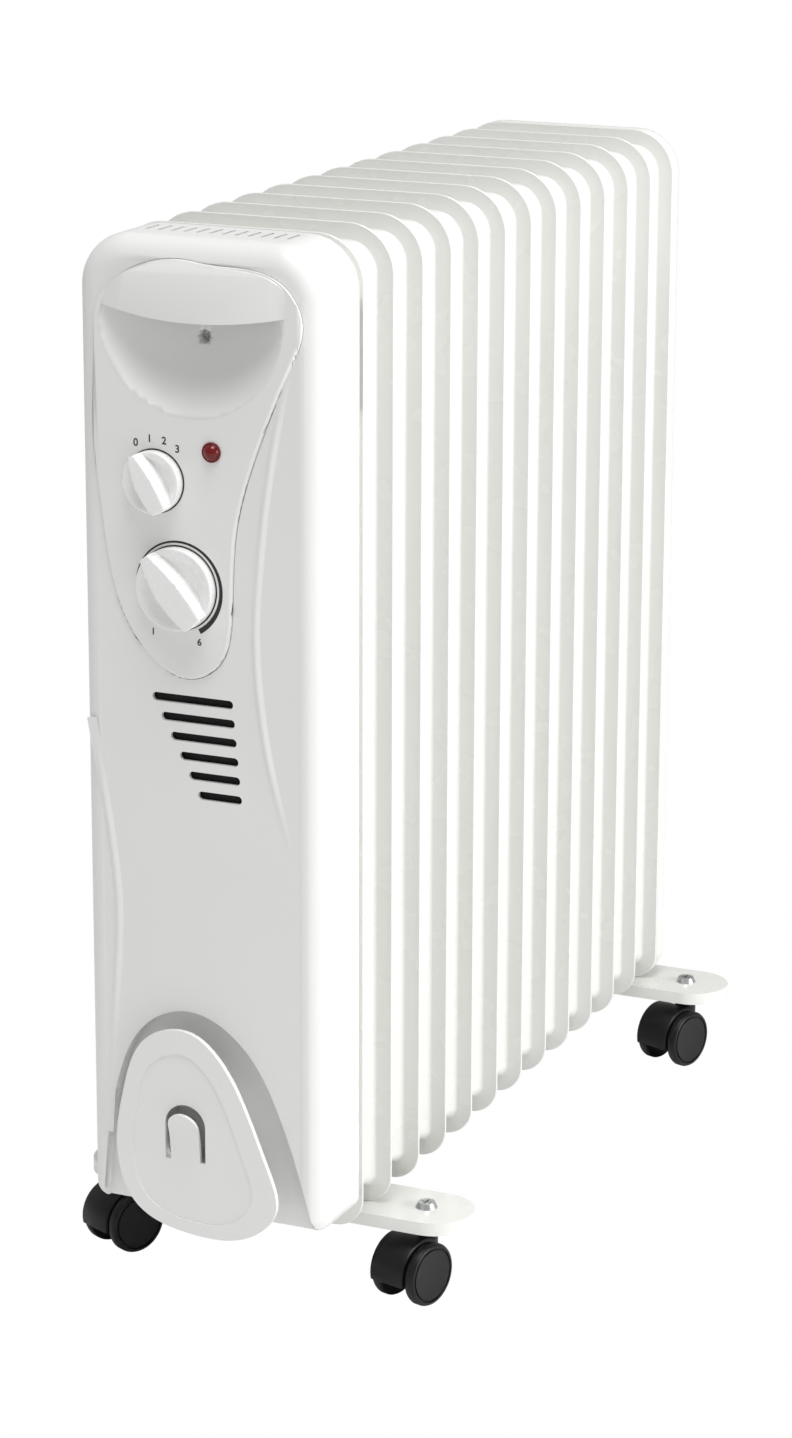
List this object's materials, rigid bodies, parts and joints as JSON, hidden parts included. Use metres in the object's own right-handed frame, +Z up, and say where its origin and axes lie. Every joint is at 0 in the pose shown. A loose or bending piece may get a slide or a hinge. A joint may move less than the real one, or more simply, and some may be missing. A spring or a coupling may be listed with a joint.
{
  "type": "oil filled radiator heater",
  "caption": "Upright electric heater: oil filled steel fins, moulded control housing with two knobs, indicator and cord winder, on swivel twin-wheel casters.",
  "frame": {"origin": "on the floor, under the middle of the bounding box", "axes": "+X to the right seen from the control side, +Y from the controls towards the rear cover, +Z up"},
  "size_m": [0.248, 0.5843, 0.634],
  "materials": {
    "fin_enamel": "gloss white baked enamel",
    "shield_enamel": "gloss white baked enamel",
    "white_plastic": "moulded, semi-gloss white",
    "knob_plastic": "moulded, semi-gloss white",
    "red_lens": "clear red moulded lens",
    "lamp_glass": "clear glass",
    "inner_plastic": "moulded, dark",
    "shaft_metal": "turned",
    "element_steel": "plain tube",
    "zinc": "bright zinc plate",
    "gland_rubber": "moulded, white",
    "caster_black": "moulded, semi-gloss black"
  },
  "bodies": {
    "heater": {"fin_01": "fin_enamel", "fin_02": "fin_enamel", "fin_03": "fin_enamel", "fin_04": "fin_enamel", "fin_05": "fin_enamel", "fin_06": "fin_enamel", "fin_07": "fin_enamel", "fin_08": "fin_enamel", "fin_09": "fin_enamel", "fin_10": "fin_enamel", "fin_11": "fin_enamel", "fin_12": "fin_enamel", "fin_13": "fin_enamel", "collector_caps": "fin_enamel", "heating_element": "element_steel", "element_flange": "element_steel", "housing": "white_plastic", "heat_shield": "shield_enamel", "housing_screws": "zinc", "control_panel": "white_plastic", "panel_screw": "zinc", "indicator_lens": "red_lens", "neon_lamp": "lamp_glass", "switch_body": "inner_plastic", "thermostat_body": "inner_plastic", "thermal_cutout": "inner_plastic", "terminal_block": "inner_plastic", "winder_hub": "white_plastic", "winder_plate": "white_plastic", "cord_gland": "gland_rubber", "rear_cover": "fin_enamel", "front_bracket": "fin_enamel", "rear_bracket": "fin_enamel", "u_bolts": "zinc", "wing_nuts": "zinc", "caster_stems": "zinc", "stem_nuts": "zinc"},
    "switch": {"switch_knob": "knob_plastic", "switch_shaft": "shaft_metal"},
    "thermostat": {"thermostat_knob": "knob_plastic", "thermostat_shaft": "shaft_metal"},
    "caster_front_left": {"caster_hood_front_left": "caster_black", "caster_axle_front_left": "zinc"},
    "wheel_front_left_a": {"caster_wheel_front_left_a": "caster_black"},
    "wheel_front_left_b": {"caster_wheel_front_left_b": "caster_black"},
    "caster_front_right": {"caster_hood_front_right": "caster_black", "caster_axle_front_right": "zinc"},
    "wheel_front_right_a": {"caster_wheel_front_right_a": "caster_black"},
    "wheel_front_right_b": {"caster_wheel_front_right_b": "caster_black"},
    "caster_rear_left": {"caster_hood_rear_left": "caster_black", "caster_axle_rear_left": "zinc"},
    "wheel_rear_left_a": {"caster_wheel_rear_left_a": "caster_black"},
    "wheel_rear_left_b": {"caster_wheel_rear_left_b": "caster_black"},
    "caster_rear_right": {"caster_hood_rear_right": "caster_black", "caster_axle_rear_right": "zinc"},
    "wheel_rear_right_a": {"caster_wheel_rear_right_a": "caster_black"},
    "wheel_rear_right_b": {"caster_wheel_rear_right_b": "caster_black"}
  },
  "joints": [
    {"name": "switch_turn", "type": "hinge", "parent": "heater", "child": "switch", "pos_m": [-0.025, -0.283, 0.5], "axis": [0, 1, 0], "range_deg": [0, 66.2]},
    {"name": "thermostat_turn", "type": "hinge", "parent": "heater", "child": "thermostat", "pos_m": [-0.0115, -0.283, 0.441], "axis": [0, 1, 0], "range_deg": [-99, 191]},
    {"name": "caster_front_left_swivel", "type": "hinge", "parent": "heater", "child": "caster_front_left", "pos_m": [-0.095, -0.17325, 0.03], "axis": [0, 0, 1], "continuous": true},
    {"name": "wheel_front_left_a_roll", "type": "hinge", "parent": "caster_front_left", "child": "wheel_front_left_a", "pos_m": [-0.1007, -0.18493, 0.019], "axis": [0.8988, -0.4384, 0], "continuous": true},
    {"name": "wheel_front_left_b_roll", "type": "hinge", "parent": "caster_front_left", "child": "wheel_front_left_b", "pos_m": [-0.1007, -0.18493, 0.019], "axis": [0.8988, -0.4384, 0], "continuous": true},
    {"name": "caster_front_right_swivel", "type": "hinge", "parent": "heater", "child": "caster_front_right", "pos_m": [0.095, -0.17325, 0.03], "axis": [0, 0, 1], "continuous": true},
    {"name": "wheel_front_right_a_roll", "type": "hinge", "parent": "caster_front_right", "child": "wheel_front_right_a", "pos_m": [0.09142, -0.18575, 0.019], "axis": [0.9613, -0.2756, 0], "continuous": true},
    {"name": "wheel_front_right_b_roll", "type": "hinge", "parent": "caster_front_right", "child": "wheel_front_right_b", "pos_m": [0.09142, -0.18575, 0.019], "axis": [0.9613, -0.2756, 0], "continuous": true},
    {"name": "caster_rear_left_swivel", "type": "hinge", "parent": "heater", "child": "caster_rear_left", "pos_m": [-0.095, 0.26675, 0.03], "axis": [0, 0, 1], "continuous": true},
    {"name": "wheel_rear_left_a_roll", "type": "hinge", "parent": "caster_rear_left", "child": "wheel_rear_left_a", "pos_m": [-0.09858, 0.25425, 0.019], "axis": [0.9613, -0.2756, 0], "continuous": true},
    {"name": "wheel_rear_left_b_roll", "type": "hinge", "parent": "caster_rear_left", "child": "wheel_rear_left_b", "pos_m": [-0.09858, 0.25425, 0.019], "axis": [0.9613, -0.2756, 0], "continuous": true},
    {"name": "caster_rear_right_swivel", "type": "hinge", "parent": "heater", "child": "caster_rear_right", "pos_m": [0.095, 0.26675, 0.03], "axis": [0, 0, 1], "continuous": true},
    {"name": "wheel_rear_right_a_roll", "type": "hinge", "parent": "caster_rear_right", "child": "wheel_rear_right_a", "pos_m": [0.09098, 0.25439, 0.019], "axis": [0.9511, -0.309, 0], "continuous": true},
    {"name": "wheel_rear_right_b_roll", "type": "hinge", "parent": "caster_rear_right", "child": "wheel_rear_right_b", "pos_m": [0.09098, 0.25439, 0.019], "axis": [0.9511, -0.309, 0], "continuous": true}
  ]
}
